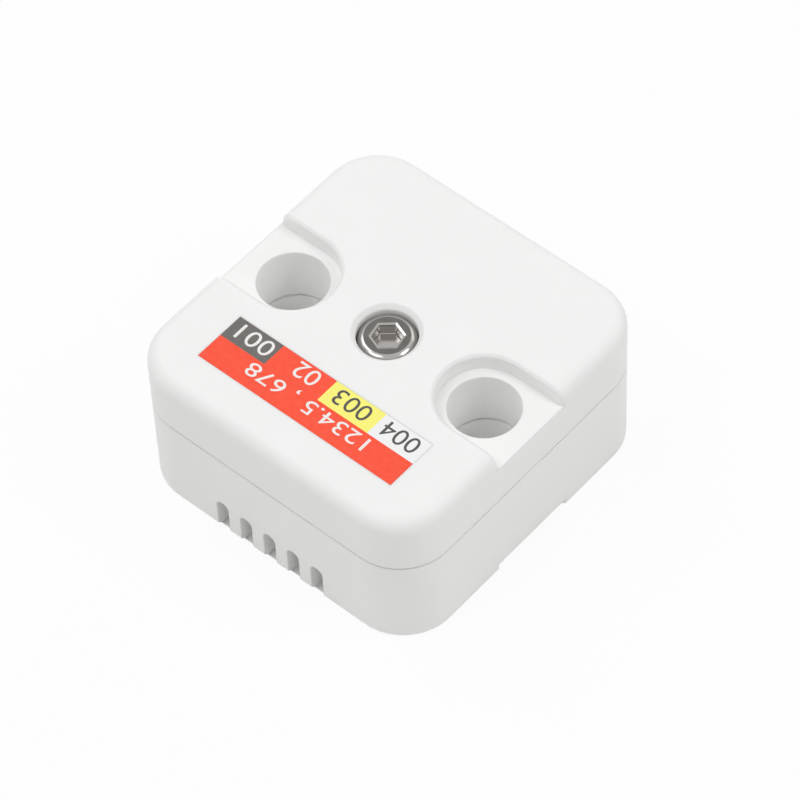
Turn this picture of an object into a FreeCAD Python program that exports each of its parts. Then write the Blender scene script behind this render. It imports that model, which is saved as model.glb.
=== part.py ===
import FreeCAD, Part
import math
import os
import Sketcher

# Gas sensor module, a clip-on box that two building-brick pins hold. Millimetres.
# X runs along the line of pin holes, +Y points to the plug socket, -Y to the vents.
# Z = 0 is the sensing front face and +Z the mounting rear face.

Vector = FreeCAD.Vector
doc = FreeCAD.newDocument("GasSensorModule")

SIZES = {
    # Case: two shells that meet on a level parting line.
    "case_width": 23.6,
    "case_depth": 24.0,
    "case_height": 12.0,
    "corner_radius": 3.8,
    "wall_thickness": 1.2,
    "rear_panel": 1.2,
    "front_panel": 1.2,
    "rear_rim_radius": 1.1,
    "front_rim_bevel": 0.35,
    "parting_height": 7.5,
    "parting_gap": 0.1,
    "lip_thickness": 0.5,
    "lip_height": 0.8,
    "lip_clearance": 0.05,
    # Pin holes with a round-ended recess that runs out through the side wall.
    "pin_pitch": 16.0,
    "pin_hole_radius": 2.4,
    "recess_radius": 3.15,
    "rear_recess_depth": 1.25,
    "front_recess_depth": 0.8,
    "recess_floor": 1.0,
    "recess_backing": 0.9,
    "recess_edge_bevel": 0.2,
    "rear_tube_wall": 0.6,
    "front_tube_wall": 0.8,
    "tube_clearance": 0.1,
    "tube_seam_height": 6.5,
    "tube_seam_gap": 0.2,
    # Case screw: round head sunk in its counterbore, threaded into the front boss.
    "screw_radius": 1.0,
    "screw_length": 8.0,
    "screw_point": 0.3,
    "screw_head_radius": 1.95,
    "screw_head_height": 1.4,
    "screw_head_bevel": 0.45,
    "screw_sink": 0.38,
    "socket_width": 1.75,
    "socket_depth": 0.9,
    "socket_turn": 40.7,
    "counterbore_radius": 2.03,
    "counterbore_bevel": 0.3,
    "screw_clearance": 0.15,
    "thread_clearance": 0.03,
    "thread_run_out": 0.4,
    "rear_boss_radius": 3.0,
    "front_boss_radius": 2.2,
    # Posts that clamp the corners of the board, and the rib that ties boss and tubes.
    "post_radius": 1.2,
    "post_inset": 3.2,
    "rib_thickness": 0.8,
    "rib_height": 2.8,
    # Vents: slots in the wall that turn the corner into the front face.
    "vent_count": 5,
    "vent_pitch": 2.0,
    "vent_width": 1.0,
    "vent_top": 2.85,
    "vent_reach": 3.2,
    # Label set flush in the rear face.
    "label_length": 16.0,
    "label_width": 4.0,
    "label_inset": 5.04,
    "label_thickness": 0.1,
    "label_clearance": 0.01,
    # Circuit board.
    "board_bottom": 7.0,
    "board_thickness": 1.0,
    "board_clearance": 0.25,
    "board_slot_clearance": 0.25,
    "board_screw_clearance": 0.3,
    # Plug socket with its contacts and hold-down tabs, under the board.
    "port_width": 10.0,
    "port_height": 5.4,
    "port_wall": 0.8,
    "port_back_wall": 1.6,
    "port_setback": 0.2,
    "port_clearance": 0.12,
    "key_slot_width": 0.9,
    "key_slot_depth": 3.0,
    "key_slot_pitch": 6.2,
    "latch_width": 3.4,
    "latch_depth": 1.6,
    "contact_count": 4,
    "contact_pitch": 2.0,
    "contact_thickness": 0.5,
    "contact_bevel": 0.12,
    "contact_setback": 1.4,
    "contact_knee": 0.9,
    "contact_foot": 0.5,
    "contact_clearance": 0.02,
    "contact_boss_clearance": 0.4,
    "tab_thickness": 0.3,
    "tab_length": 2.4,
    "tab_height": 2.0,
    "tab_foot": 1.2,
    "tab_setback": 4.2,
    # Gas sensor, with its membrane towards the front face.
    "sensor_inset": 2.35,
    "sensor_width": 2.45,
    "sensor_height": 0.8,
    "sensor_pad_length": 0.4,
    "sensor_pad_width": 0.3,
    "sensor_pad_pitch": 0.8,
    "sensor_pad_height": 0.1,
    "sensor_window_radius": 0.8,
    "sensor_window_depth": 0.15,
    "membrane_thickness": 0.1,
    "membrane_clearance": 0.03,
    # Small packages with bent leads.
    "package_length": 2.9,
    "package_width": 1.6,
    "package_height": 1.0,
    "package_standoff": 0.1,
    "lead_pitch": 0.95,
    "lead_width": 0.4,
    "lead_thickness": 0.15,
    "lead_knee": 0.3,
    "lead_reach": 0.6,
    "regulator_x": 5.0,
    "regulator_y": -5.8,
    "transistor_y": -5.4,
    "transistor_pitch": 3.2,
    "transistor_sensor_gap": 0.4,
    # Chip capacitors and resistors. The insets count from the board's edge by the vents.
    "capacitor_length": 1.6,
    "capacitor_width": 0.8,
    "capacitor_height": 0.8,
    "capacitor_cap": 0.3,
    "input_capacitor_x": 8.0,
    "input_capacitor_y": -5.6,
    "output_capacitor_inset": 1.35,
    "sensor_capacitor_gap": 0.9,
    "resistor_length": 1.0,
    "resistor_width": 0.5,
    "resistor_height": 0.35,
    "resistor_cap": 0.2,
    "resistor_count": 4,
    "resistor_pitch": 0.95,
    "resistor_post_gap": 0.6,
    "resistor_inset": 1.75,
}

sheet = doc.addObject("Spreadsheet::Sheet", "Sizes")
for row, (alias, value) in enumerate(SIZES.items(), start=1):
    sheet.set(f"A{row}", alias)
    sheet.set(f"B{row}", str(value))
    sheet.setAlias(f"B{row}", alias)
doc.recompute()

# Sizes that follow from the sheet, as expressions that features bind to.
INNER_WIDTH = "(Sizes.case_width - 2 * Sizes.wall_thickness)"
INNER_DEPTH = "(Sizes.case_depth - 2 * Sizes.wall_thickness)"
INNER_RADIUS = "(Sizes.corner_radius - Sizes.wall_thickness)"
PIN_X = "(Sizes.pin_pitch / 2)"
OUTSIDE_X = "(Sizes.case_width / 2 + Sizes.wall_thickness)"
OUTSIDE_Y = "(Sizes.case_depth / 2 + Sizes.wall_thickness)"
REAR_SHELL_BOTTOM = "(Sizes.parting_height + Sizes.parting_gap)"
REAR_CEILING = "(Sizes.case_height - Sizes.rear_panel)"
GROOVE_ROOF = "(Sizes.parting_height + Sizes.lip_height + Sizes.lip_clearance)"
FRONT_BACKING_TOP = "(Sizes.front_recess_depth + Sizes.recess_floor)"
REAR_BACKING_BOTTOM = "(Sizes.case_height - Sizes.rear_recess_depth - Sizes.recess_floor)"
REAR_TUBE_RADIUS = "(Sizes.pin_hole_radius + Sizes.rear_tube_wall)"
FRONT_TUBE_RADIUS = "(Sizes.pin_hole_radius + Sizes.front_tube_wall)"
BACKING_RADIUS = "(Sizes.recess_radius + Sizes.recess_backing)"
BACKING_END = "(Sizes.case_width / 2 - Sizes.wall_thickness / 2)"
POST_X = "(Sizes.case_width / 2 - Sizes.post_inset)"
POST_Y = "(Sizes.case_depth / 2 - Sizes.post_inset)"
LABEL_Y = "(Sizes.label_inset - Sizes.case_depth / 2)"
BOARD_TOP = "(Sizes.board_bottom + Sizes.board_thickness)"
HEAD_SEAT = "(Sizes.case_height - Sizes.screw_sink - Sizes.screw_head_height)"
HEAD_TOP = "(Sizes.case_height - Sizes.screw_sink)"
SCREW_TIP = f"({HEAD_SEAT} - Sizes.screw_length)"
PORT_MOUTH = "(Sizes.case_depth / 2 - Sizes.port_setback)"
CONTACT_TOE = "(Sizes.front_boss_radius + Sizes.contact_boss_clearance)"
CONTACT_KNEE = f"({CONTACT_TOE} + Sizes.contact_foot)"
PORT_BACK = f"({CONTACT_KNEE} + Sizes.contact_knee)"
PORT_DEPTH = f"({PORT_MOUTH} - {PORT_BACK})"
PORT_BOTTOM = "(Sizes.board_bottom - Sizes.port_height)"
PORT_AXIS = "(Sizes.board_bottom - Sizes.port_height / 2)"
PORT_GAP_WIDTH = "(Sizes.port_width + 2 * Sizes.port_clearance)"
BOARD_EDGE_Y = f"({INNER_DEPTH} / 2 - Sizes.board_clearance)"
SENSOR_Y = f"(Sizes.sensor_inset - {BOARD_EDGE_Y})"
TRANSISTOR_X = "(-Sizes.sensor_width / 2 - Sizes.transistor_sensor_gap - Sizes.package_length / 2)"
SENSOR_CAPACITOR_X = "(Sizes.sensor_width / 2 + Sizes.sensor_capacitor_gap + Sizes.capacitor_width / 2)"
OUTPUT_CAPACITOR_Y = f"(Sizes.output_capacitor_inset - {BOARD_EDGE_Y})"
RESISTOR_X = f"(Sizes.post_radius + Sizes.resistor_post_gap + Sizes.resistor_width / 2 - {POST_X})"
RESISTOR_Y = f"(Sizes.resistor_inset - {BOARD_EDGE_Y})"


def number(expression):
    """Value of an expression over the sheet, for the first drawing of a sketch."""
    return float(sheet.evalExpression(expression))


def new_body(name):
    body = doc.addObject("PartDesign::Body", name)
    body.Label = name
    return body


def new_sketch(body, role, offset):
    """Sketch on an origin plane of its own body, moved along the plane's normal by offset."""
    sketch = body.newObject("Sketcher::SketchObject", "Sketch")
    plane = next(item for item in body.Origin.OriginFeatures if item.Role == role)
    sketch.AttachmentSupport = [(plane, "")]
    sketch.MapMode = "FlatFace"
    sketch.setExpression("AttachmentOffset.Base.z", offset)
    return sketch


def constrain(sketch, expression, *reference):
    """Dimension whose value follows the expression."""
    index = sketch.addConstraint(Sketcher.Constraint(*reference, number(expression)))
    sketch.setExpression(f"Constraints[{index}]", expression)


def place_point(sketch, geometry, point, x, y):
    """Hold a point of the sketch at two expressions counted from the sketch's origin."""
    for kind, axis, expression in (("DistanceX", -2, x), ("DistanceY", -1, y)):
        if expression == "0":
            sketch.addConstraint(Sketcher.Constraint("PointOnObject", geometry, point, axis))
        else:
            constrain(sketch, expression, kind, geometry, point)


def draw_polygon(sketch, points):
    """Closed outline of straight lines through pairs of expressions."""
    first = sketch.GeometryCount
    count = len(points)
    corners = [Vector(number(x), number(y), 0) for x, y in points]
    for index in range(count):
        sketch.addGeometry(Part.LineSegment(corners[index], corners[(index + 1) % count]))
    for index, (x, y) in enumerate(points):
        previous = first + (index - 1) % count
        sketch.addConstraint(Sketcher.Constraint("Coincident", first + index, 1, previous, 2))
        place_point(sketch, first + index, 1, x, y)


def draw_rectangle(sketch, left, right, low, high):
    draw_polygon(sketch, [(left, low), (right, low), (right, high), (left, high)])


def draw_circle(sketch, x, y, radius):
    centre = Vector(number(x), number(y), 0)
    index = sketch.addGeometry(Part.Circle(centre, Vector(0, 0, 1), number(radius)))
    place_point(sketch, index, 3, x, y)
    constrain(sketch, radius, "Radius", index)


def draw_rounded_rectangle(sketch, width, depth, radius):
    """Outline centred on the sketch's origin, with four equal round corners."""
    round_radius = number(radius)
    reach_x = number(width) / 2 - round_radius
    reach_y = number(depth) / 2 - round_radius
    arcs = []
    for quarter, (side_x, side_y) in enumerate([(1, 1), (-1, 1), (-1, -1), (1, -1)]):
        circle = Part.Circle(Vector(side_x * reach_x, side_y * reach_y, 0), Vector(0, 0, 1), round_radius)
        start = quarter * math.pi / 2
        arcs.append(sketch.addGeometry(Part.ArcOfCircle(circle, start, start + math.pi / 2)))
    for index, direction in enumerate(["Horizontal", "Vertical", "Horizontal", "Vertical"]):
        here = arcs[index]
        following = arcs[(index + 1) % 4]
        start = sketch.Geometry[here].EndPoint
        end = sketch.Geometry[following].StartPoint
        line = sketch.addGeometry(Part.LineSegment(start, end))
        sketch.addConstraint(Sketcher.Constraint("Tangent", here, 2, line, 1))
        sketch.addConstraint(Sketcher.Constraint("Tangent", line, 2, following, 1))
        sketch.addConstraint(Sketcher.Constraint(direction, line))
    for arc in arcs[1:]:
        sketch.addConstraint(Sketcher.Constraint("Equal", arcs[0], arc))
    constrain(sketch, radius, "Radius", arcs[0])
    place_point(sketch, arcs[0], 3, f"{width} / 2 - {radius}", f"{depth} / 2 - {radius}")
    place_point(sketch, arcs[2], 3, f"{radius} - {width} / 2", f"{radius} - {depth} / 2")


def draw_slot(sketch, x, y, radius, opens, end):
    """Slot with a round end about (x, y) whose straight sides run on to end, towards opens."""
    centre = Vector(number(x), number(y), 0)
    half = number(radius)
    angle = {"+X": 0.0, "+Y": 0.5, "-X": 1.0, "-Y": 1.5}[opens] * math.pi
    outward = Vector(math.cos(angle), math.sin(angle), 0)
    across = Vector(-outward.y, outward.x, 0)
    run = abs(number(end) - centre.dot(Vector(abs(outward.x), abs(outward.y), 0)))
    near = [centre + across * half, centre - across * half]
    far = [point + outward * run for point in near]
    circle = Part.Circle(centre, Vector(0, 0, 1), half)
    arc = sketch.addGeometry(Part.ArcOfCircle(circle, angle + math.pi / 2, angle + math.pi * 3 / 2))
    first_side = sketch.addGeometry(Part.LineSegment(near[0], far[0]))
    cap = sketch.addGeometry(Part.LineSegment(far[0], far[1]))
    second_side = sketch.addGeometry(Part.LineSegment(far[1], near[1]))
    sketch.addConstraint(Sketcher.Constraint("Tangent", arc, 1, first_side, 1))
    sketch.addConstraint(Sketcher.Constraint("Tangent", arc, 2, second_side, 2))
    sketch.addConstraint(Sketcher.Constraint("Coincident", first_side, 2, cap, 1))
    sketch.addConstraint(Sketcher.Constraint("Coincident", cap, 2, second_side, 1))
    along_x = opens.endswith("X")
    sketch.addConstraint(Sketcher.Constraint("Horizontal" if along_x else "Vertical", first_side))
    sketch.addConstraint(Sketcher.Constraint("Horizontal" if along_x else "Vertical", second_side))
    sketch.addConstraint(Sketcher.Constraint("Vertical" if along_x else "Horizontal", cap))
    place_point(sketch, arc, 3, x, y)
    constrain(sketch, radius, "Radius", arc)
    constrain(sketch, end, "DistanceX" if along_x else "DistanceY", cap, 1)


def add_pad(body, sketch, length, centred=False):
    """Material from the sketch along its normal, or to both sides of it."""
    pad = body.newObject("PartDesign::Pad", "Pad")
    pad.Profile = sketch
    pad.setExpression("Length", length)
    pad.Midplane = centred
    doc.recompute()
    return pad


def add_pocket(body, sketch, length, upward=False):
    """Cut from the sketch against its normal, or along it when upward."""
    before = body.Shape.Volume
    pocket = body.newObject("PartDesign::Pocket", "Pocket")
    pocket.Profile = sketch
    pocket.setExpression("Length", length)
    pocket.Reversed = upward
    doc.recompute()
    if body.Shape.Volume >= before:
        raise RuntimeError(f"{body.Label}: a pocket removed nothing")
    return pocket


def add_pattern(body, original, pitch, count):
    """Repeat a feature along X."""
    pattern = body.newObject("PartDesign::LinearPattern", "Pattern")
    axis = next(item for item in body.Origin.OriginFeatures if item.Role == "X_Axis")
    pattern.Originals = [original]
    pattern.Direction = (axis, [""])
    pattern.setExpression("Length", f"{pitch} * ({count} - 1)")
    pattern.setExpression("Occurrences", count)
    body.Tip = pattern
    doc.recompute()
    return pattern


def pick_edges(body, chosen):
    """The body's last feature, with the names of its edges that chosen picks."""
    names = [f"Edge{index}" for index, edge in enumerate(body.Tip.Shape.Edges, start=1) if chosen(edge)]
    if not names:
        raise RuntimeError(f"{body.Label}: no edge to work on")
    return body.Tip, names


def add_fillet(body, radius, chosen):
    """Round the edges that chosen picks from the body."""
    edges = pick_edges(body, chosen)
    fillet = body.newObject("PartDesign::Fillet", "Fillet")
    fillet.Base = edges
    fillet.setExpression("Radius", radius)
    doc.recompute()


def add_bevel(body, size, chosen):
    """Break the edges that chosen picks from the body, at 45 degrees."""
    edges = pick_edges(body, chosen)
    bevel = body.newObject("PartDesign::Chamfer", "Bevel")
    bevel.Base = edges
    bevel.setExpression("Size", size)
    doc.recompute()


TOUCH = 1e-4  # edges this close to a level or radius count as on it


def level(height):
    """Test for edges that lie wholly at one height."""
    z = number(height)
    return lambda edge: edge.BoundBox.ZMin > z - TOUCH and edge.BoundBox.ZMax < z + TOUCH


def circle_at(height, radius):
    """Test for the circle of that radius about the Z axis, at one height."""
    at_height = level(height)
    wanted = number(radius)
    return lambda edge: at_height(edge) and all(
        abs(math.hypot(vertex.X, vertex.Y) - wanted) < TOUCH for vertex in edge.Vertexes
    )


def draw_tubes(sketch, radius):
    """One circle about each pin hole."""
    for side in ("", "-"):
        draw_circle(sketch, side + PIN_X, "0", radius)


def draw_recesses(sketch, radius, end):
    """One slot about each pin hole, open to the nearer side wall."""
    draw_slot(sketch, PIN_X, "0", radius, "+X", end)
    draw_slot(sketch, f"-{PIN_X}", "0", radius, "-X", f"-{end}")


def draw_posts(sketch):
    for side_x in ("", "-"):
        for side_y in ("", "-"):
            draw_circle(sketch, side_x + POST_X, side_y + POST_Y, "Sizes.post_radius")


def is_recess_edge(face_height, recess_depth):
    """Test for the recess edges on the face, over the rim and down the side wall."""
    face = number(face_height)
    depth = number(recess_depth)
    radius = number("Sizes.recess_radius")
    pin_x = number(PIN_X)

    def chosen(edge):
        middle = edge.valueAt((edge.FirstParameter + edge.LastParameter) / 2)
        points = [vertex.Point for vertex in edge.Vertexes] + [middle]
        on_outline = all(
            abs(abs(point.y) - radius) < TOUCH
            or abs(math.hypot(abs(point.x) - pin_x, point.y) - radius) < TOUCH
            for point in points
        )
        beyond = all(abs(point.x) > pin_x - radius - TOUCH for point in points)
        above_floor = min(abs(point.z - face) for point in points) < depth - TOUCH
        return on_outline and beyond and above_floor

    return chosen


def make_rear_shell():
    body = new_body("rear_shell")
    outline = new_sketch(body, "XY_Plane", REAR_SHELL_BOTTOM)
    draw_rounded_rectangle(outline, "Sizes.case_width", "Sizes.case_depth", "Sizes.corner_radius")
    add_pad(body, outline, f"Sizes.case_height - {REAR_SHELL_BOTTOM}")
    add_fillet(body, "Sizes.rear_rim_radius", level("Sizes.case_height"))

    hollow = new_sketch(body, "XY_Plane", REAR_SHELL_BOTTOM)
    draw_rounded_rectangle(hollow, INNER_WIDTH, INNER_DEPTH, INNER_RADIUS)
    add_pocket(body, hollow, f"{REAR_CEILING} - {REAR_SHELL_BOTTOM}", upward=True)

    # The groove inside the wall takes the front shell's lip.
    groove = new_sketch(body, "XY_Plane", REAR_SHELL_BOTTOM)
    reach = "(Sizes.lip_thickness + Sizes.lip_clearance)"
    draw_rounded_rectangle(
        groove,
        f"({INNER_WIDTH} + 2 * {reach})",
        f"({INNER_DEPTH} + 2 * {reach})",
        f"({INNER_RADIUS} + {reach})",
    )
    add_pocket(body, groove, f"{GROOVE_ROOF} - {REAR_SHELL_BOTTOM}", upward=True)

    # The skirt hangs down to the plug socket and closes the gap above it.
    skirt_bottom = "(Sizes.board_bottom + Sizes.port_clearance)"
    skirt = new_sketch(body, "XY_Plane", skirt_bottom)
    skirt_half = f"({PORT_GAP_WIDTH} / 2 - Sizes.port_clearance)"
    draw_rectangle(skirt, f"-{skirt_half}", skirt_half, f"{INNER_DEPTH} / 2", "Sizes.case_depth / 2")
    add_pad(body, skirt, f"{GROOVE_ROOF} - {skirt_bottom}")

    tubes = new_sketch(body, "XY_Plane", "Sizes.tube_seam_height")
    draw_tubes(tubes, REAR_TUBE_RADIUS)
    add_pad(body, tubes, f"{REAR_CEILING} - Sizes.tube_seam_height")

    backing = new_sketch(body, "XY_Plane", REAR_BACKING_BOTTOM)
    draw_recesses(backing, BACKING_RADIUS, BACKING_END)
    add_pad(body, backing, f"{REAR_CEILING} - {REAR_BACKING_BOTTOM}")

    boss = new_sketch(body, "XY_Plane", BOARD_TOP)
    draw_circle(boss, "0", "0", "Sizes.rear_boss_radius")
    add_pad(body, boss, f"{REAR_CEILING} - {BOARD_TOP}")

    posts = new_sketch(body, "XY_Plane", BOARD_TOP)
    draw_posts(posts)
    add_pad(body, posts, f"{REAR_CEILING} - {BOARD_TOP}")

    recesses = new_sketch(body, "XY_Plane", "Sizes.case_height")
    draw_recesses(recesses, "Sizes.recess_radius", OUTSIDE_X)
    add_pocket(body, recesses, "Sizes.rear_recess_depth")
    rear_edge = is_recess_edge("Sizes.case_height", "Sizes.rear_recess_depth")
    add_bevel(body, "Sizes.recess_edge_bevel", rear_edge)

    pin_holes = new_sketch(body, "XY_Plane", "Sizes.case_height")
    draw_tubes(pin_holes, "Sizes.pin_hole_radius")
    add_pocket(body, pin_holes, "Sizes.case_height")

    counterbore = new_sketch(body, "XY_Plane", "Sizes.case_height")
    draw_circle(counterbore, "0", "0", "Sizes.counterbore_radius")
    add_pocket(body, counterbore, f"Sizes.case_height - {HEAD_SEAT}")
    mouth = circle_at("Sizes.case_height", "Sizes.counterbore_radius")
    add_bevel(body, "Sizes.counterbore_bevel", mouth)

    screw_hole = new_sketch(body, "XY_Plane", "Sizes.case_height")
    draw_circle(screw_hole, "0", "0", "Sizes.screw_radius + Sizes.screw_clearance")
    add_pocket(body, screw_hole, "Sizes.case_height")

    label_seat = new_sketch(body, "XY_Plane", "Sizes.case_height")
    seat_half_length = "(Sizes.label_length / 2 + Sizes.label_clearance)"
    seat_half_width = "(Sizes.label_width / 2 + Sizes.label_clearance)"
    draw_rectangle(
        label_seat,
        f"-{seat_half_length}",
        seat_half_length,
        f"{LABEL_Y} - {seat_half_width}",
        f"{LABEL_Y} + {seat_half_width}",
    )
    add_pocket(body, label_seat, "Sizes.label_thickness")
    return body


def make_front_shell():
    body = new_body("front_shell")
    outline = new_sketch(body, "XY_Plane", "0")
    draw_rounded_rectangle(outline, "Sizes.case_width", "Sizes.case_depth", "Sizes.corner_radius")
    add_pad(body, outline, "Sizes.parting_height")
    add_bevel(body, "Sizes.front_rim_bevel", level("0"))

    lip = new_sketch(body, "XY_Plane", "Sizes.parting_height")
    draw_rounded_rectangle(
        lip,
        f"({INNER_WIDTH} + 2 * Sizes.lip_thickness)",
        f"({INNER_DEPTH} + 2 * Sizes.lip_thickness)",
        f"({INNER_RADIUS} + Sizes.lip_thickness)",
    )
    add_pad(body, lip, "Sizes.lip_height")

    # The rear shell's tubes pass inside the wall, down to the seam.
    tube_room = new_sketch(body, "XY_Plane", "Sizes.tube_seam_height - Sizes.tube_seam_gap")
    draw_tubes(tube_room, f"{REAR_TUBE_RADIUS} + Sizes.tube_clearance")
    add_pocket(body, tube_room, "Sizes.case_height", upward=True)

    hollow = new_sketch(body, "XY_Plane", "Sizes.front_panel")
    draw_rounded_rectangle(hollow, INNER_WIDTH, INNER_DEPTH, INNER_RADIUS)
    add_pocket(body, hollow, "Sizes.case_height", upward=True)

    backing = new_sketch(body, "XY_Plane", "Sizes.front_panel")
    draw_recesses(backing, BACKING_RADIUS, BACKING_END)
    add_pad(body, backing, f"{FRONT_BACKING_TOP} - Sizes.front_panel")

    tubes = new_sketch(body, "XY_Plane", "Sizes.front_panel")
    draw_tubes(tubes, FRONT_TUBE_RADIUS)
    add_pad(body, tubes, "Sizes.tube_seam_height - Sizes.tube_seam_gap - Sizes.front_panel")

    boss = new_sketch(body, "XY_Plane", "Sizes.front_panel")
    draw_circle(boss, "0", "0", "Sizes.front_boss_radius")
    add_pad(body, boss, "Sizes.board_bottom - Sizes.front_panel")

    posts = new_sketch(body, "XY_Plane", "Sizes.front_panel")
    draw_posts(posts)
    add_pad(body, posts, "Sizes.board_bottom - Sizes.front_panel")

    rib = new_sketch(body, "XY_Plane", "Sizes.front_panel")
    half = "Sizes.rib_thickness / 2"
    draw_rectangle(rib, f"-{PIN_X}", PIN_X, f"-{half}", half)
    add_pad(body, rib, "Sizes.rib_height")

    recesses = new_sketch(body, "XY_Plane", "0")
    draw_recesses(recesses, "Sizes.recess_radius", OUTSIDE_X)
    add_pocket(body, recesses, "Sizes.front_recess_depth", upward=True)
    front_edge = is_recess_edge("0", "Sizes.front_recess_depth")
    add_bevel(body, "Sizes.recess_edge_bevel", front_edge)

    pin_holes = new_sketch(body, "XY_Plane", "0")
    draw_tubes(pin_holes, "Sizes.pin_hole_radius")
    add_pocket(body, pin_holes, "Sizes.case_height", upward=True)

    gap_bottom = f"({PORT_BOTTOM} - Sizes.port_clearance)"
    port_gap = new_sketch(body, "XY_Plane", gap_bottom)
    draw_rectangle(
        port_gap,
        f"-{PORT_GAP_WIDTH} / 2",
        f"{PORT_GAP_WIDTH} / 2",
        f"{INNER_DEPTH} / 2 - Sizes.port_clearance",
        OUTSIDE_Y,
    )
    add_pocket(body, port_gap, "Sizes.case_height", upward=True)

    pilot = new_sketch(body, "XY_Plane", "Sizes.board_bottom")
    draw_circle(pilot, "0", "0", "Sizes.screw_radius + Sizes.thread_clearance")
    add_pocket(body, pilot, f"Sizes.board_bottom - {SCREW_TIP} + Sizes.thread_run_out")

    # Each vent is one slot in the wall and one in the front panel, which meet at the corner.
    first_vent = "-Sizes.vent_pitch * (Sizes.vent_count - 1) / 2"
    vent_radius = "Sizes.vent_width / 2"
    wall_vent = new_sketch(body, "XZ_Plane", "Sizes.case_depth / 2")
    draw_slot(wall_vent, first_vent, f"Sizes.vent_top - {vent_radius}", vent_radius, "-Y", "-Sizes.front_panel")
    wall_cut = add_pocket(body, wall_vent, "Sizes.wall_thickness")
    add_pattern(body, wall_cut, "Sizes.vent_pitch", "Sizes.vent_count")

    panel_vent = new_sketch(body, "XY_Plane", "0")
    vent_end = f"-Sizes.case_depth / 2 + Sizes.vent_reach - {vent_radius}"
    draw_slot(panel_vent, first_vent, vent_end, vent_radius, "-Y", f"-{OUTSIDE_Y}")
    panel_cut = add_pocket(body, panel_vent, "Sizes.front_panel", upward=True)
    add_pattern(body, panel_cut, "Sizes.vent_pitch", "Sizes.vent_count")
    return body


def make_case_screw():
    body = new_body("case_screw")
    profile = new_sketch(body, "XZ_Plane", "0")
    draw_polygon(profile, [
        ("0", SCREW_TIP),
        ("Sizes.screw_radius - Sizes.screw_point", SCREW_TIP),
        ("Sizes.screw_radius", f"{SCREW_TIP} + Sizes.screw_point"),
        ("Sizes.screw_radius", HEAD_SEAT),
        ("Sizes.screw_head_radius", HEAD_SEAT),
        ("Sizes.screw_head_radius", HEAD_TOP),
        ("0", HEAD_TOP),
    ])
    turned = body.newObject("PartDesign::Revolution", "Turned")
    turned.Profile = profile
    turned.ReferenceAxis = (profile, ["V_Axis"])
    doc.recompute()
    add_bevel(body, "Sizes.screw_head_bevel", level(HEAD_TOP))

    socket = new_sketch(body, "XY_Plane", HEAD_TOP)
    corner = "Sizes.socket_width / sqrt(3)"
    turns = [f"(Sizes.socket_turn + {60 * side})" for side in range(6)]
    draw_polygon(socket, [(f"{corner} * cos{turn}", f"{corner} * sin{turn}") for turn in turns])
    add_pocket(body, socket, "Sizes.socket_depth")
    return body


def make_port_label():
    body = new_body("port_label")
    outline = new_sketch(body, "XY_Plane", "Sizes.case_height - Sizes.label_thickness")
    draw_rectangle(
        outline,
        "-Sizes.label_length / 2",
        "Sizes.label_length / 2",
        f"{LABEL_Y} - Sizes.label_width / 2",
        f"{LABEL_Y} + Sizes.label_width / 2",
    )
    add_pad(body, outline, "Sizes.label_thickness")
    return body


def make_circuit_board():
    body = new_body("circuit_board")
    outline = new_sketch(body, "XY_Plane", "Sizes.board_bottom")
    draw_rounded_rectangle(
        outline,
        f"({INNER_WIDTH} - 2 * Sizes.board_clearance)",
        f"({INNER_DEPTH} - 2 * Sizes.board_clearance)",
        f"({INNER_RADIUS} - Sizes.board_clearance)",
    )
    add_pad(body, outline, "Sizes.board_thickness")

    tube_slots = new_sketch(body, "XY_Plane", "Sizes.board_bottom")
    draw_recesses(tube_slots, f"{REAR_TUBE_RADIUS} + Sizes.board_slot_clearance", OUTSIDE_X)
    add_pocket(body, tube_slots, "Sizes.board_thickness", upward=True)

    screw_hole = new_sketch(body, "XY_Plane", "Sizes.board_bottom")
    draw_circle(screw_hole, "0", "0", "Sizes.screw_radius + Sizes.board_screw_clearance")
    add_pocket(body, screw_hole, "Sizes.board_thickness", upward=True)
    return body


def contact_x(index):
    """Place of a contact in the row across the socket."""
    return f"(({index} - (Sizes.contact_count - 1) / 2) * Sizes.contact_pitch)"


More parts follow.
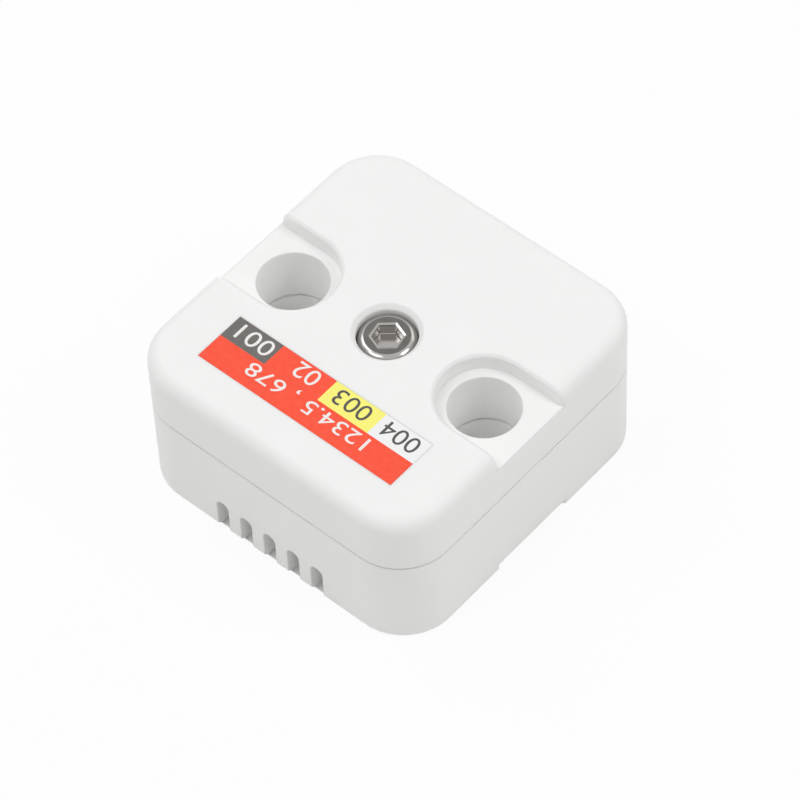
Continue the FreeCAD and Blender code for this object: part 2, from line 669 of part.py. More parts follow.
def make_port_housing():
    body = new_body("port_housing")
    half = "Sizes.port_width / 2"
    block = new_sketch(body, "XY_Plane", PORT_BOTTOM)
    draw_rectangle(block, f"-{half}", half, PORT_BACK, PORT_MOUTH)
    add_pad(body, block, "Sizes.port_height")

    # Sketches on the XZ plane look along +Y, so a negative offset moves them to the mouth.
    cavity = new_sketch(body, "XZ_Plane", f"-{PORT_MOUTH}")
    inner_half = f"({half} - Sizes.port_wall)"
    floor = f"{PORT_BOTTOM} + Sizes.port_wall"
    ceiling = "Sizes.board_bottom - Sizes.port_wall"
    draw_rectangle(cavity, f"-{inner_half}", inner_half, floor, ceiling)
    add_pocket(body, cavity, f"{PORT_DEPTH} - Sizes.port_back_wall", upward=True)

    contact_half = "(Sizes.contact_thickness / 2 + Sizes.contact_clearance)"
    contact_holes = new_sketch(body, "XZ_Plane", f"-{PORT_MOUTH}")
    for index in range(int(number("Sizes.contact_count"))):
        centre = contact_x(index)
        draw_rectangle(
            contact_holes,
            f"{centre} - {contact_half}",
            f"{centre} + {contact_half}",
            f"{PORT_AXIS} - {contact_half}",
            f"{PORT_AXIS} + {contact_half}",
        )
    add_pocket(body, contact_holes, PORT_DEPTH, upward=True)

    # Two key slots and the latch notch open the wall that faces away from the board.
    keys = new_sketch(body, "XY_Plane", PORT_BOTTOM)
    for side in ("", "-"):
        centre = f"{side}Sizes.key_slot_pitch / 2"
        draw_rectangle(
            keys,
            f"{centre} - Sizes.key_slot_width / 2",
            f"{centre} + Sizes.key_slot_width / 2",
            f"{PORT_MOUTH} - Sizes.key_slot_depth",
            OUTSIDE_Y,
        )
    add_pocket(body, keys, "Sizes.port_wall", upward=True)

    latch = new_sketch(body, "XY_Plane", PORT_BOTTOM)
    draw_rectangle(
        latch,
        "-Sizes.latch_width / 2",
        "Sizes.latch_width / 2",
        f"{PORT_MOUTH} - Sizes.latch_depth",
        OUTSIDE_Y,
    )
    add_pocket(body, latch, "Sizes.port_wall", upward=True)
    return body


def make_port_contact(index):
    body = new_body(f"port_contact_{index + 1}")
    profile = new_sketch(body, "YZ_Plane", contact_x(index))
    half = "Sizes.contact_thickness / 2"
    tip = f"({PORT_MOUTH} - Sizes.contact_setback)"
    draw_polygon(profile, [
        (tip, f"{PORT_AXIS} - {half}"),
        (tip, f"{PORT_AXIS} + {half}"),
        (f"{CONTACT_KNEE} + Sizes.contact_thickness", f"{PORT_AXIS} + {half}"),
        (f"{CONTACT_KNEE} + Sizes.contact_thickness", "Sizes.board_bottom"),
        (CONTACT_TOE, "Sizes.board_bottom"),
        (CONTACT_TOE, "Sizes.board_bottom - Sizes.contact_thickness"),
        (CONTACT_KNEE, "Sizes.board_bottom - Sizes.contact_thickness"),
        (CONTACT_KNEE, f"{PORT_AXIS} - {half}"),
    ])
    add_pad(body, profile, "Sizes.contact_thickness", centred=True)
    tip_y = number(tip)
    add_bevel(body, "Sizes.contact_bevel", lambda edge: edge.BoundBox.YMin > tip_y - TOUCH)
    return body


def make_solder_tab(name, side):
    """Bent plate against one end of the socket, with its foot on the board."""
    body = new_body(name)
    profile = new_sketch(body, "XZ_Plane", f"Sizes.tab_setback - {PORT_MOUTH}")
    inner = f"{side}Sizes.port_width / 2"
    outer = f"{inner} {side or '+'} Sizes.tab_thickness"
    toe = f"{inner} {side or '+'} Sizes.tab_foot"
    draw_polygon(profile, [
        (inner, "Sizes.board_bottom"),
        (toe, "Sizes.board_bottom"),
        (toe, "Sizes.board_bottom - Sizes.tab_thickness"),
        (outer, "Sizes.board_bottom - Sizes.tab_thickness"),
        (outer, "Sizes.board_bottom - Sizes.tab_height"),
        (inner, "Sizes.board_bottom - Sizes.tab_height"),
    ])
    add_pad(body, profile, "Sizes.tab_length", centred=True)
    return body


SENSOR_TOP = "(Sizes.board_bottom - Sizes.sensor_pad_height)"
SENSOR_FACE = f"({SENSOR_TOP} - Sizes.sensor_height)"


def make_sensor_package():
    body = new_body("gas_sensor_package")
    half = "Sizes.sensor_width / 2"
    outline = new_sketch(body, "XY_Plane", SENSOR_FACE)
    draw_rectangle(outline, f"-{half}", half, f"{SENSOR_Y} - {half}", f"{SENSOR_Y} + {half}")
    add_pad(body, outline, "Sizes.sensor_height")
    window = new_sketch(body, "XY_Plane", SENSOR_FACE)
    draw_circle(window, "0", SENSOR_Y, "Sizes.sensor_window_radius")
    add_pocket(body, window, "Sizes.sensor_window_depth", upward=True)
    return body


def make_sensor_membrane():
    body = new_body("gas_sensor_membrane")
    bottom = f"{SENSOR_FACE} + Sizes.sensor_window_depth - Sizes.membrane_thickness"
    disc = new_sketch(body, "XY_Plane", bottom)
    radius = "Sizes.sensor_window_radius - Sizes.membrane_clearance"
    draw_circle(disc, "0", SENSOR_Y, radius)
    add_pad(body, disc, "Sizes.membrane_thickness")
    return body


def add_box(name, x, y, z, length, width, height):
    """Box centred on x and y, standing on z, all as expressions."""
    box = doc.addObject("Part::Box", name)
    box.setExpression("Length", length)
    box.setExpression("Width", width)
    box.setExpression("Height", height)
    box.setExpression("Placement.Base.x", f"{x} - ({length}) / 2")
    box.setExpression("Placement.Base.y", f"{y} - ({width}) / 2")
    box.setExpression("Placement.Base.z", z)
    return box


def add_group(name, members):
    """One node of separate solids."""
    group = doc.addObject("Part::Compound", name)
    group.Label = name
    group.Links = members
    doc.recompute()
    return group


def make_sensor_pads():
    pads = []
    for side in ("-", "+"):
        for row in (-1, 0, 1):
            pads.append(add_box(
                "SensorPad",
                f"{side}(Sizes.sensor_width - Sizes.sensor_pad_length) / 2",
                f"{SENSOR_Y} + {row} * Sizes.sensor_pad_pitch",
                SENSOR_TOP,
                "Sizes.sensor_pad_length",
                "Sizes.sensor_pad_width",
                "Sizes.sensor_pad_height",
            ))
    return add_group("gas_sensor_pads", pads)


PACKAGE_TOP = "(Sizes.board_bottom - Sizes.package_standoff)"
PACKAGE_FACE = f"({PACKAGE_TOP} - Sizes.package_height)"


def make_package(name, x, y):
    """Moulded block of a regulator or transistor, hanging under the board."""
    package = add_box(
        name, x, y, PACKAGE_FACE, "Sizes.package_length", "Sizes.package_width", "Sizes.package_height"
    )
    package.Label = name
    doc.recompute()
    return package


def add_lead(body, x, y, side):
    """Bent lead from the middle of the package's side up to its foot on the board."""
    profile = new_sketch(body, "YZ_Plane", x)
    middle = f"({PACKAGE_TOP} - Sizes.package_height / 2)"
    half = "Sizes.lead_thickness / 2"
    root = f"{y} {side} Sizes.package_width / 2"
    knee = f"{root} {side} Sizes.lead_knee"
    inner_knee = f"{root} {side} (Sizes.lead_knee - Sizes.lead_thickness)"
    toe = f"{root} {side} Sizes.lead_reach"
    foot_bottom = "Sizes.board_bottom - Sizes.lead_thickness"
    draw_polygon(profile, [
        (root, f"{middle} - {half}"),
        (knee, f"{middle} - {half}"),
        (knee, foot_bottom),
        (toe, foot_bottom),
        (toe, "Sizes.board_bottom"),
        (inner_knee, "Sizes.board_bottom"),
        (inner_knee, f"{middle} + {half}"),
        (root, f"{middle} + {half}"),
    ])
    add_pad(body, profile, "Sizes.lead_width", centred=True)


def make_leads(name, packages):
    """All leads of the packages, given as (x, y, places); a place is (pitches along X, side)."""
    body = new_body(name)
    body.AllowCompound = True
    for x, y, places in packages:
        for pitches, side in places:
            add_lead(body, f"{x} + {pitches} * Sizes.lead_pitch", y, side)
    return body


def make_chip(name, kind, x, y, turned=False):
    """Middle of a chip part as one box, and its two end caps; turned lays it along Y."""
    length = f"Sizes.{kind}_length"
    width = f"Sizes.{kind}_width"
    height = f"Sizes.{kind}_height"
    cap = f"Sizes.{kind}_cap"
    middle = f"({length} - 2 * {cap})"
    offset = f"({length} - {cap}) / 2"
    bottom = f"Sizes.board_bottom - {height}"
    if turned:
        block = add_box(name, x, y, bottom, width, middle, height)
        caps = [add_box("EndCap", x, f"{y} {side} {offset}", bottom, width, cap, height) for side in ("-", "+")]
    else:
        block = add_box(name, x, y, bottom, middle, width, height)
        caps = [add_box("EndCap", f"{x} {side} {offset}", y, bottom, cap, width, height) for side in ("-", "+")]
    block.Label = name
    return block, caps


nodes = [
    make_rear_shell(),
    make_front_shell(),
    make_case_screw(),
    make_port_label(),
    make_circuit_board(),
    make_port_housing(),
    make_solder_tab("port_solder_tab_left", "-"),
    make_solder_tab("port_solder_tab_right", ""),
    make_sensor_package(),
    make_sensor_membrane(),
    make_sensor_pads(),
]
for contact in range(int(number("Sizes.contact_count"))):
    nodes.append(make_port_contact(contact))

REGULATOR = ("Sizes.regulator_x", "Sizes.regulator_y")
FIRST_TRANSISTOR = (TRANSISTOR_X, "Sizes.transistor_y")
SECOND_TRANSISTOR = (f"{TRANSISTOR_X} - Sizes.transistor_pitch", "Sizes.transistor_y")
THREE_LEADS = [(-1, "-"), (1, "-"), (0, "+")]
FIVE_LEADS = [(-1, "-"), (0, "-"), (1, "-"), (-1, "+"), (1, "+")]
nodes += [
    make_package("voltage_regulator", *REGULATOR),
    make_leads("voltage_regulator_leads", [(*REGULATOR, FIVE_LEADS)]),
    make_package("level_shift_transistor_clock", *FIRST_TRANSISTOR),
    make_package("level_shift_transistor_data", *SECOND_TRANSISTOR),
    make_leads("transistor_leads", [(*FIRST_TRANSISTOR, THREE_LEADS), (*SECOND_TRANSISTOR, THREE_LEADS)]),
]

CAPACITORS = [
    ("input_capacitor", "Sizes.input_capacitor_x", "Sizes.input_capacitor_y", False),
    ("output_capacitor", "Sizes.regulator_x", OUTPUT_CAPACITOR_Y, False),
    ("sensor_capacitor", SENSOR_CAPACITOR_X, SENSOR_Y, True),
]
end_caps = []
for name, x, y, turned in CAPACITORS:
    block, caps = make_chip(name, "capacitor", x, y, turned)
    nodes.append(block)
    end_caps += caps
resistors = []
for place in range(int(number("Sizes.resistor_count"))):
    x = f"{RESISTOR_X} + {place} * Sizes.resistor_pitch"
    block, caps = make_chip("Resistor", "resistor", x, RESISTOR_Y, turned=True)
    resistors.append(block)
    end_caps += caps
nodes.append(add_group("pull_up_resistors", resistors))
nodes.append(add_group("chip_end_caps", end_caps))

doc.recompute()
for item in doc.Objects:
    if "Invalid" in item.State or "Error" in item.State:
        raise RuntimeError(f"{item.Name} ({item.Label}) failed: {item.State}")
for node in nodes:
    if node.Shape.isNull() or not node.Shape.isValid() or not node.Shape.Solids:
        raise RuntimeError(f"{node.Label} has no valid solid")

os.makedirs("parts", exist_ok=True)
for node in nodes:
    node.Shape.exportStep(f"parts/{node.Label}.step")
    print(f"{node.Label}: {len(node.Shape.Solids)} solid(s), {node.Shape.Volume:.3f} mm3")
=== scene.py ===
import bpy
import numpy as np
from mathutils import Matrix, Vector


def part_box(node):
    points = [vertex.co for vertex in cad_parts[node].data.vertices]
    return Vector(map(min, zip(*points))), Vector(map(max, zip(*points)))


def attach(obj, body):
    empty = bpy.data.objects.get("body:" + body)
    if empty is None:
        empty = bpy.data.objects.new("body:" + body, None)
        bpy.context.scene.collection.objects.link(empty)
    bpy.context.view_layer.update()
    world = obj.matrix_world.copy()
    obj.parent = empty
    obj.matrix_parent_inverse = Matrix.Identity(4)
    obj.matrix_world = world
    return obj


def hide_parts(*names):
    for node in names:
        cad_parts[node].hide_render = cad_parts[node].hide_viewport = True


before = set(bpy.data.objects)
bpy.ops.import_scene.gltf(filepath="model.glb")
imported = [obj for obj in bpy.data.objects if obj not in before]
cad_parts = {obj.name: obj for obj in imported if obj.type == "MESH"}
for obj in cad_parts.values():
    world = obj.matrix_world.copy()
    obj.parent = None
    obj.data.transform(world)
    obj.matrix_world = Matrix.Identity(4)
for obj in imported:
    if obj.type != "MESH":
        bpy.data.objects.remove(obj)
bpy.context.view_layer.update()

# Camera: the photograph's viewpoint, found from the pin holes, the label's corners and the outline.
# It stands 0.3 m away over the corner between the vents and the right pin hole, with a long lens.
MM = 0.001
azimuth, elevation, roll = 0.7517, 0.9185, -0.0529
focal_pixels, picture_pixels = 4503.25, 800
aim = np.array([0.0, 0.0, 6.0])
shift_right, shift_up, distance = -0.6224, 0.6745, 289.01
back = np.array([
    np.sin(azimuth) * np.cos(elevation),
    -np.cos(azimuth) * np.cos(elevation),
    np.sin(elevation),
])
level_right = np.cross(-back, [0.0, 0.0, 1.0])
level_right /= np.linalg.norm(level_right)
level_up = np.cross(level_right, -back)
right = np.cos(roll) * level_right + np.sin(roll) * level_up
up = np.cos(roll) * level_up - np.sin(roll) * level_right
eye = (aim - shift_right * right - shift_up * up + distance * back) * MM


def placed(across, upright, towards, place):
    """Matrix of a camera or lamp that stands at a place and looks against its third direction."""
    axes = np.column_stack([across, upright, towards, place])
    return Matrix(np.vstack([axes, [0.0, 0.0, 0.0, 1.0]]).tolist())


scene = bpy.context.scene
camera_data = bpy.data.cameras.new("camera")
camera_data.sensor_width = 36.0
camera_data.lens = camera_data.sensor_width * focal_pixels / picture_pixels
camera_data.clip_start = 0.01
camera_data.clip_end = 10.0
camera = bpy.data.objects.new("camera", camera_data)
camera.matrix_world = placed(right, up, back, eye)
scene.collection.objects.link(camera)
scene.camera = camera

# Studio: a pale floor under a white surround, lit by that surround and four soft boxes.
# Camera, reflections and clear pieces see both as white; a faint shadow and the dark under the vents stay.
scene.view_settings.view_transform = "Standard"
scene.cycles.diffuse_bounces = 12


def feed(tree, socket, value):
    """Give a socket a number or colour, or link another socket to it."""
    if isinstance(value, bpy.types.NodeSocket):
        tree.links.new(value, socket)
    else:
        socket.default_value = value


def add_math(tree, operation, *values):
    """Result of a math node on numbers or sockets."""
    node = tree.nodes.new("ShaderNodeMath")
    node.operation = operation
    for socket, value in zip(node.inputs, values):
        feed(tree, socket, value)
    return node.outputs[0]


def add_white_rays(tree):
    """1 for the rays that see plain white: those of the camera, of reflections and through clear pieces."""
    path = tree.nodes.new("ShaderNodeLightPath")
    seen = add_math(tree, "MAXIMUM", path.outputs["Is Camera Ray"], path.outputs["Is Glossy Ray"])
    return add_math(tree, "MAXIMUM", seen, path.outputs["Is Transmission Ray"])


def add_choice(tree, share, first, second):
    """Surface between those of two shader nodes."""
    choice = tree.nodes.new("ShaderNodeMixShader")
    for socket, value in zip(choice.inputs, (share, first.outputs[0], second.outputs[0])):
        tree.links.new(value, socket)
    return choice.outputs[0]


def add_axes(tree, place):
    """X, Y and Z of a place, in metres."""
    axes = tree.nodes.new("ShaderNodeSeparateXYZ")
    tree.links.new(place, axes.inputs[0])
    return axes.outputs


plain_white, fill_strength = (1.0, 1.0, 1.0, 1.0), 0.425
world = bpy.data.worlds.new("studio")
scene.world = world
world.use_nodes = True
tree = world.node_tree
fill = tree.nodes["Background"]
fill.inputs["Color"].default_value = plain_white
fill.inputs["Strength"].default_value = fill_strength
surround = tree.nodes.new("ShaderNodeBackground")
surround.inputs["Color"].default_value = plain_white
lit = add_choice(tree, add_white_rays(tree), fill, surround)
tree.links.new(lit, tree.nodes["World Output"].inputs["Surface"])

floor_half, floor_drop, floor_white = 1.5, 0.01 * MM, 0.915
vents_middle, vents_half_length, vents_half_run = -10.2 * MM, 5.2 * MM, 1.5 * MM
corners = np.array([[-1, -1, 0], [1, -1, 0], [1, 1, 0], [-1, 1, 0]]) * floor_half
floor_mesh = bpy.data.meshes.new("floor")
floor_mesh.from_pydata((corners - [0.0, 0.0, floor_drop]).tolist(), [], [[0, 1, 2, 3]])
floor = bpy.data.objects.new("floor", floor_mesh)
scene.collection.objects.link(floor)
floor_finish = bpy.data.materials.new("pale_floor")
floor_finish.use_nodes = True
tree = floor_finish.node_tree
paper = tree.nodes["Principled BSDF"]
paper.inputs["Base Color"].default_value = (0.92, 0.915, 0.90, 1.0)
paper.inputs["Roughness"].default_value = 0.9
paper.inputs["Specular IOR Level"].default_value = 0.0
glow = tree.nodes.new("ShaderNodeEmission")
glow.inputs["Strength"].default_value = 1.0
axes = add_axes(tree, tree.nodes.new("ShaderNodeTexCoord").outputs["Object"])
along = add_math(tree, "COMPARE", axes["X"], 0.0, vents_half_length)
inwards = add_math(tree, "COMPARE", axes["Y"], vents_middle, vents_half_run)
under_vents = add_math(tree, "MULTIPLY", along, inwards)
white_share = add_math(tree, "MULTIPLY_ADD", under_vents, -floor_white, floor_white)
share = add_math(tree, "MULTIPLY", add_white_rays(tree), white_share)
lit = add_choice(tree, share, paper, glow)
tree.links.new(lit, tree.nodes["Material Output"].inputs["Surface"])
floor_mesh.materials.append(floor_finish)

soft_boxes = [
    ("box_over_vents", (-0.16, -0.29, 0.62), 0.28, 1.04),
    ("box_at_right", (0.40, 0.20, 0.52), 0.28, 1.10),
    ("box_at_left", (-0.42, 0.0, 0.55), 0.30, 0.82),
    ("box_over_socket", (0.0, 0.52, 0.34), 0.30, 0.24),
]
for name, place, side, power in soft_boxes:
    lamp = bpy.data.lights.new(name, "AREA")
    lamp.shape = "SQUARE"
    lamp.size = side
    lamp.energy = power
    box = bpy.data.objects.new(name, lamp)
    towards = np.array(place) / np.linalg.norm(place)
    across = np.cross([0.0, 0.0, 1.0], towards)
    across /= np.linalg.norm(across)
    box.matrix_world = placed(across, np.cross(towards, across), towards, place)
    scene.collection.objects.link(box)

# Case: two shells moulded in white matte plastic, held by the screw between the pin holes.
# The mould's fine spark-eroded skin gives the walls a soft sheen, and every edge has a slight radius.
def new_finish(name):
    """Node material with its Principled shader and Object coordinates."""
    material = bpy.data.materials.new(name)
    material.use_nodes = True
    tree = material.node_tree
    place = tree.nodes.new("ShaderNodeTexCoord").outputs["Object"]
    return material, tree, tree.nodes["Principled BSDF"], place


def add_noise(tree, place, grain, detail=2.0):
    """Noise whose cells are about one grain across, in metres."""
    noise = tree.nodes.new("ShaderNodeTexNoise")
    noise.inputs["Scale"].default_value = 1.0 / grain
    noise.inputs["Detail"].default_value = detail
    tree.links.new(place, noise.inputs["Vector"])
    return noise.outputs["Fac"]


def add_range(tree, value, low, high):
    """Noise, which mostly lies between 0.3 and 0.7, spread between two values."""
    spread = tree.nodes.new("ShaderNodeMapRange")
    spread.inputs["From Min"].default_value = 0.3
    spread.inputs["From Max"].default_value = 0.7
    spread.inputs["To Min"].default_value = low
    spread.inputs["To Max"].default_value = high
    tree.links.new(value, spread.inputs["Value"])
    return spread.outputs["Result"]


def add_mix(tree, share, first, second):
    """Colour between two others; each is four numbers or a socket."""
    mix = tree.nodes.new("ShaderNodeMix")
    mix.data_type = "RGBA"
    for socket, value in ((mix.inputs[0], share), (mix.inputs[6], first), (mix.inputs[7], second)):
        feed(tree, socket, value)
    return mix.outputs[2]


def add_gloss(tree, shader, place, grain, low, high):
    """Roughness that drifts between two values over a grain."""
    tree.links.new(add_range(tree, add_noise(tree, place, grain), low, high), shader.inputs["Roughness"])


def add_skin(tree, shader, height, depth, edge_radius):
    """Bump of the given depth over edges rounded to the given radius, both in metres."""
    bump = tree.nodes.new("ShaderNodeBump")
    bump.inputs["Strength"].default_value = 1.0
    bump.inputs["Distance"].default_value = depth
    tree.links.new(height, bump.inputs["Height"])
    rounding = tree.nodes.new("ShaderNodeBevel")
    rounding.samples = 6
    rounding.inputs["Radius"].default_value = edge_radius
    tree.links.new(rounding.outputs["Normal"], bump.inputs["Normal"])
    tree.links.new(bump.outputs["Normal"], shader.inputs["Normal"])


def grained_finish(
    name, tones, grain, gloss, gloss_grain, skin_grain, skin_depth, edge_radius, detail=2.0, metallic=0.0
):
    """Finish that drifts between two tones, with its own drift of roughness and a skin of fine noise."""
    material, tree, shader, place = new_finish(name)
    drift = add_range(tree, add_noise(tree, place, grain, detail), 0.0, 1.0)
    tree.links.new(add_mix(tree, drift, *tones), shader.inputs["Base Color"])
    shader.inputs["Metallic"].default_value = metallic
    add_gloss(tree, shader, place, gloss_grain, *gloss)
    add_skin(tree, shader, add_noise(tree, place, skin_grain), skin_depth, edge_radius)
    return material


def finish_node(name, material):
    """Give a carried-over piece its material."""
    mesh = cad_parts[name].data
    mesh.materials.clear()
    mesh.materials.append(material)


case_white = grained_finish(
    "case_white",
    tones=((0.925, 0.926, 0.916, 1.0), (0.938, 0.938, 0.930, 1.0)),
    grain=4 * MM,
    gloss=(0.50, 0.62),
    gloss_grain=0.3 * MM,
    skin_grain=0.12 * MM,
    skin_depth=0.0016 * MM,
    edge_radius=0.16 * MM,
)
shader = case_white.node_tree.nodes["Principled BSDF"]
shader.inputs["Specular IOR Level"].default_value = 0.42
shader.inputs["Subsurface Weight"].default_value = 0.25
shader.inputs["Subsurface Radius"].default_value = (1.0, 0.95, 0.9)
shader.inputs["Subsurface Scale"].default_value = 0.5 * MM
finish_node("rear_shell", case_white)
finish_node("front_shell", case_white)

# Port label: a printed polyester film set flush in the rear face, one colour for each socket contact.
# The print is solid ink under a satin coat, and its plain numbers read from the socket's side.
label_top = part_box("port_label")[1][2]
strip_edge = -6.85 * MM
field_edges = [-4.30 * MM, 0.15 * MM, 4.25 * MM]
red = (1.0, 0.080, 0.030, 1.0)
grey = (0.148, 0.134, 0.124, 1.0)
yellow = (1.0, 0.945, 0.200, 1.0)
white = (0.93, 0.93, 0.93, 1.0)
thin_print, most_thinning = (0.9, 0.9, 0.9, 1.0), 0.03
label_ink, tree, shader, place = new_finish("label_ink")
axes = add_axes(tree, place)
row = grey
for edge, colour in zip(field_edges, (red, yellow, white)):
    row = add_mix(tree, add_math(tree, "GREATER_THAN", axes["X"], edge), row, colour)
printed = add_mix(tree, add_math(tree, "GREATER_THAN", axes["Y"], strip_edge), red, row)
thinning = add_range(tree, add_noise(tree, place, 0.4 * MM, detail=3.0), 0.0, most_thinning)
tree.links.new(add_mix(tree, thinning, printed, thin_print), shader.inputs["Base Color"])
add_gloss(tree, shader, place, 0.2 * MM, 0.42, 0.52)
shader.inputs["Specular IOR Level"].default_value = 0.35
add_skin(tree, shader, add_noise(tree, place, 0.25 * MM), 0.0008 * MM, 0.02 * MM)
finish_node("port_label", label_ink)


def new_ink(name, colour):
    """Printing ink with a slightly uneven gloss."""
    material, tree, shader, place = new_finish(name)
    shader.inputs["Base Color"].default_value = colour
    add_gloss(tree, shader, place, 0.15 * MM, 0.45, 0.6)
    return material


def print_number(name, text, centre, width, ink):
    """Digits as a thin closed film: the font's outline fitted to a centre and width, turned half round."""
    digit_height, film, lift = 1.25 * MM, 0.004 * MM, 0.001 * MM
    letters = bpy.data.curves.new(name, "FONT")
    letters.body = text
    letters.extrude = 0.5
    letters.resolution_u = 5
    source = bpy.data.objects.new(name + "_outline", letters)
    mesh = bpy.data.meshes.new_from_object(source)
    bpy.data.objects.remove(source)
    points = np.empty(len(mesh.vertices) * 3, np.float32)
    mesh.vertices.foreach_get("co", points)
    points = points.reshape(-1, 3)
    low, high = points.min(0), points.max(0)
    stretch = np.array([-width * MM, -digit_height, film])
    middle = np.array([centre[0] * MM, centre[1] * MM, label_top + film / 2 + lift])
    points = ((points - low) / (high - low) - 0.5) * stretch + middle
    mesh.vertices.foreach_set("co", points.astype(np.float32).ravel())
    mesh.name = name
    mesh.materials.clear()
    mesh.materials.append(ink)
    mesh.update()
    number = bpy.data.objects.new(name, mesh)
    scene.collection.objects.link(number)
    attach(number, "root")


pale_ink = new_ink("pale_ink", (0.90, 0.88, 0.86, 1.0))
dark_ink = new_ink("dark_ink", (0.075, 0.070, 0.065, 1.0))
print_number("number_contact_1", "001", (-5.95, -5.82), 2.75, pale_ink)
print_number("number_contact_2", "02", (-1.70, -5.75), 1.85, pale_ink)
print_number("number_contact_3", "003", (2.15, -5.80), 2.75, dark_ink)
print_number("number_contact_4", "004", (6.10, -5.80), 2.75, dark_ink)
print_number("number_strip", "1234.5 , 678", (-0.05, -7.55), 9.8, pale_ink)

# Case screw: a socket head cap screw in zinc plated steel, cold headed with a hexagon socket.
# Its rolled thread holds in the front shell's boss, and its head sits just below the rear face.
screw_low, screw_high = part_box("case_screw")


def closed_grid(name, x, y, z, material):
    """Closed surface through rows of rings; the first and last row are points."""
    rows, columns = x.shape
    points = np.stack([x, y, z], axis=-1).reshape(-1, 3)
    row, column = np.meshgrid(np.arange(rows - 1), np.arange(columns), indexing="ij")
    after = (column + 1) % columns
    faces = np.stack([
        row * columns + column,
        row * columns + after,
        (row + 1) * columns + after,
        (row + 1) * columns + column,
    ], axis=-1).reshape(-1, 4)
    mesh = bpy.data.meshes.new(name)
    mesh.from_pydata(points.tolist(), [], faces.tolist())
    mesh.materials.append(material)
    mesh.validate()
    piece = bpy.data.objects.new(name, mesh)
    scene.collection.objects.link(piece)
    return piece


def screw_surface(top, tip):
    """Rings about the screw's axis, from the socket floor up, over the head and down the thread.

    A socket ring is a hexagon, half_width / cos(angle to the nearest flat); a thread ring's radius
    falls from the crest by a triangle wave of height over pitch less angle over a full turn.
    All lengths are in mm, and each head ring is its radius, its height and its share of hexagon.
    """
    columns, socket_turn = 120, np.radians(10.7)
    angle = np.linspace(0.0, 2 * np.pi, columns, endpoint=False) + socket_turn
    flat = np.cos((angle - socket_turn + np.pi / 6) % (np.pi / 3) - np.pi / 6)

    half_width, socket_depth, floor_radius = 0.875, 0.9, 0.04
    tilt_start, tilt_width, mouth_depth, mouth_width, mouth_share = 0.12, 0.02, 0.065, 0.18, 0.97
    floor = top - socket_depth
    rings = [(0.0, floor, 0.0)]
    rings += [(half_width * share, floor, 1.0) for share in (0.4, 0.8, 0.95)]
    rings += [(half_width, floor + floor_radius, 1.0), (half_width, top - tilt_start, 1.0)]
    rings += [(half_width + tilt_width, top - mouth_depth, 1.0), (half_width + mouth_width, top, mouth_share)]

    head, head_height, edge, chamfer, rim_width = 1.95, 1.4, 0.5, 0.08, 0.1
    shank, neck, neck_height = 1.0, 1.06, 0.1
    seat, shoulder = top - head_height, head - edge
    bend = np.linspace(0.0, np.pi / 2, 9)
    rings += [(shoulder - rim_width, top, 0.0)]
    rings += [(shoulder + edge * np.sin(a), top - edge + edge * np.cos(a), 0.0) for a in bend]
    rings += [(head, seat + chamfer, 0.0), (head - chamfer, seat, 0.0)]
    rings += [(neck, seat, 0.0), (shank, seat - neck_height, 0.0)]

    radius, height, hexagonal = (column[:, None] for column in np.array(rings).T)
    radius = radius * (hexagonal / flat + 1 - hexagonal)
    height = height * np.ones_like(angle)

    pitch, thread_depth, thread_rows, plain_top, plain_end = 0.4, 0.16, 136, 0.2, 0.05
    taper, taper_share, end_radius = 0.5, 0.72, 0.55
    steps = np.linspace(seat - plain_top, tip + plain_end, thread_rows)[:, None] * np.ones_like(angle)
    wave = np.abs(((steps / pitch - angle / (2 * np.pi)) % 1.0) * 2 - 1)
    fade = np.clip((steps - tip) / taper, 0.0, 1.0)
    thread = (shank - thread_depth * wave) * (taper_share + (1 - taper_share) * fade)

    end = np.array([[end_radius], [0.0]]) * np.ones_like(angle)
    radius = np.vstack([radius, thread, end])
    height = np.vstack([height, steps, np.full((2, columns), tip)])
    return radius * np.cos(angle) * MM, radius * np.sin(angle) * MM, height * MM


# Painted reflection: the two dark tones are a painted darkening of the head's flat face, standing in for the
# dark reflection it shows.
painted_dark_zinc, painted_mid_zinc = (0.152, 0.146, 0.138, 1.0), (0.180, 0.173, 0.164, 1.0)
bright_zinc, flat_depth = (0.41, 0.392, 0.377, 1.0), 0.006 * MM
plated_steel, tree, shader, place = new_finish("plated_steel")
turned_marks = tree.nodes.new("ShaderNodeTexWave")
turned_marks.wave_type = "RINGS"
turned_marks.rings_direction = "Z"
turned_marks.inputs["Scale"].default_value = 9000.0
turned_marks.inputs["Distortion"].default_value = 1.5
tree.links.new(place, turned_marks.inputs["Vector"])
tarnish = add_range(tree, add_noise(tree, place, 0.6 * MM, detail=3.0), 0.0, 1.0)
tarnish_and_painted_dark = add_mix(tree, tarnish, painted_dark_zinc, painted_mid_zinc)
# The flat face of the head gets the painted dark tones, which drift at random between them; the bevels, rim,
# socket and thread keep the brighter zinc tone.
painted_dark_on_flat = add_math(tree, "GREATER_THAN", add_axes(tree, place)["Z"], screw_high[2] - flat_depth)
tree.links.new(add_mix(tree, painted_dark_on_flat, bright_zinc, tarnish_and_painted_dark), shader.inputs["Base Color"])
shader.inputs["Metallic"].default_value = 1.0
add_gloss(tree, shader, place, 0.2 * MM, 0.12, 0.18)
add_skin(tree, shader, turned_marks.outputs["Fac"], 0.0003 * MM, 0.03 * MM)
screw = closed_grid("cap_screw", *screw_surface(screw_high[2] / MM, screw_low[2] / MM), plated_steel)
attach(screw, "root")
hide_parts("case_screw")

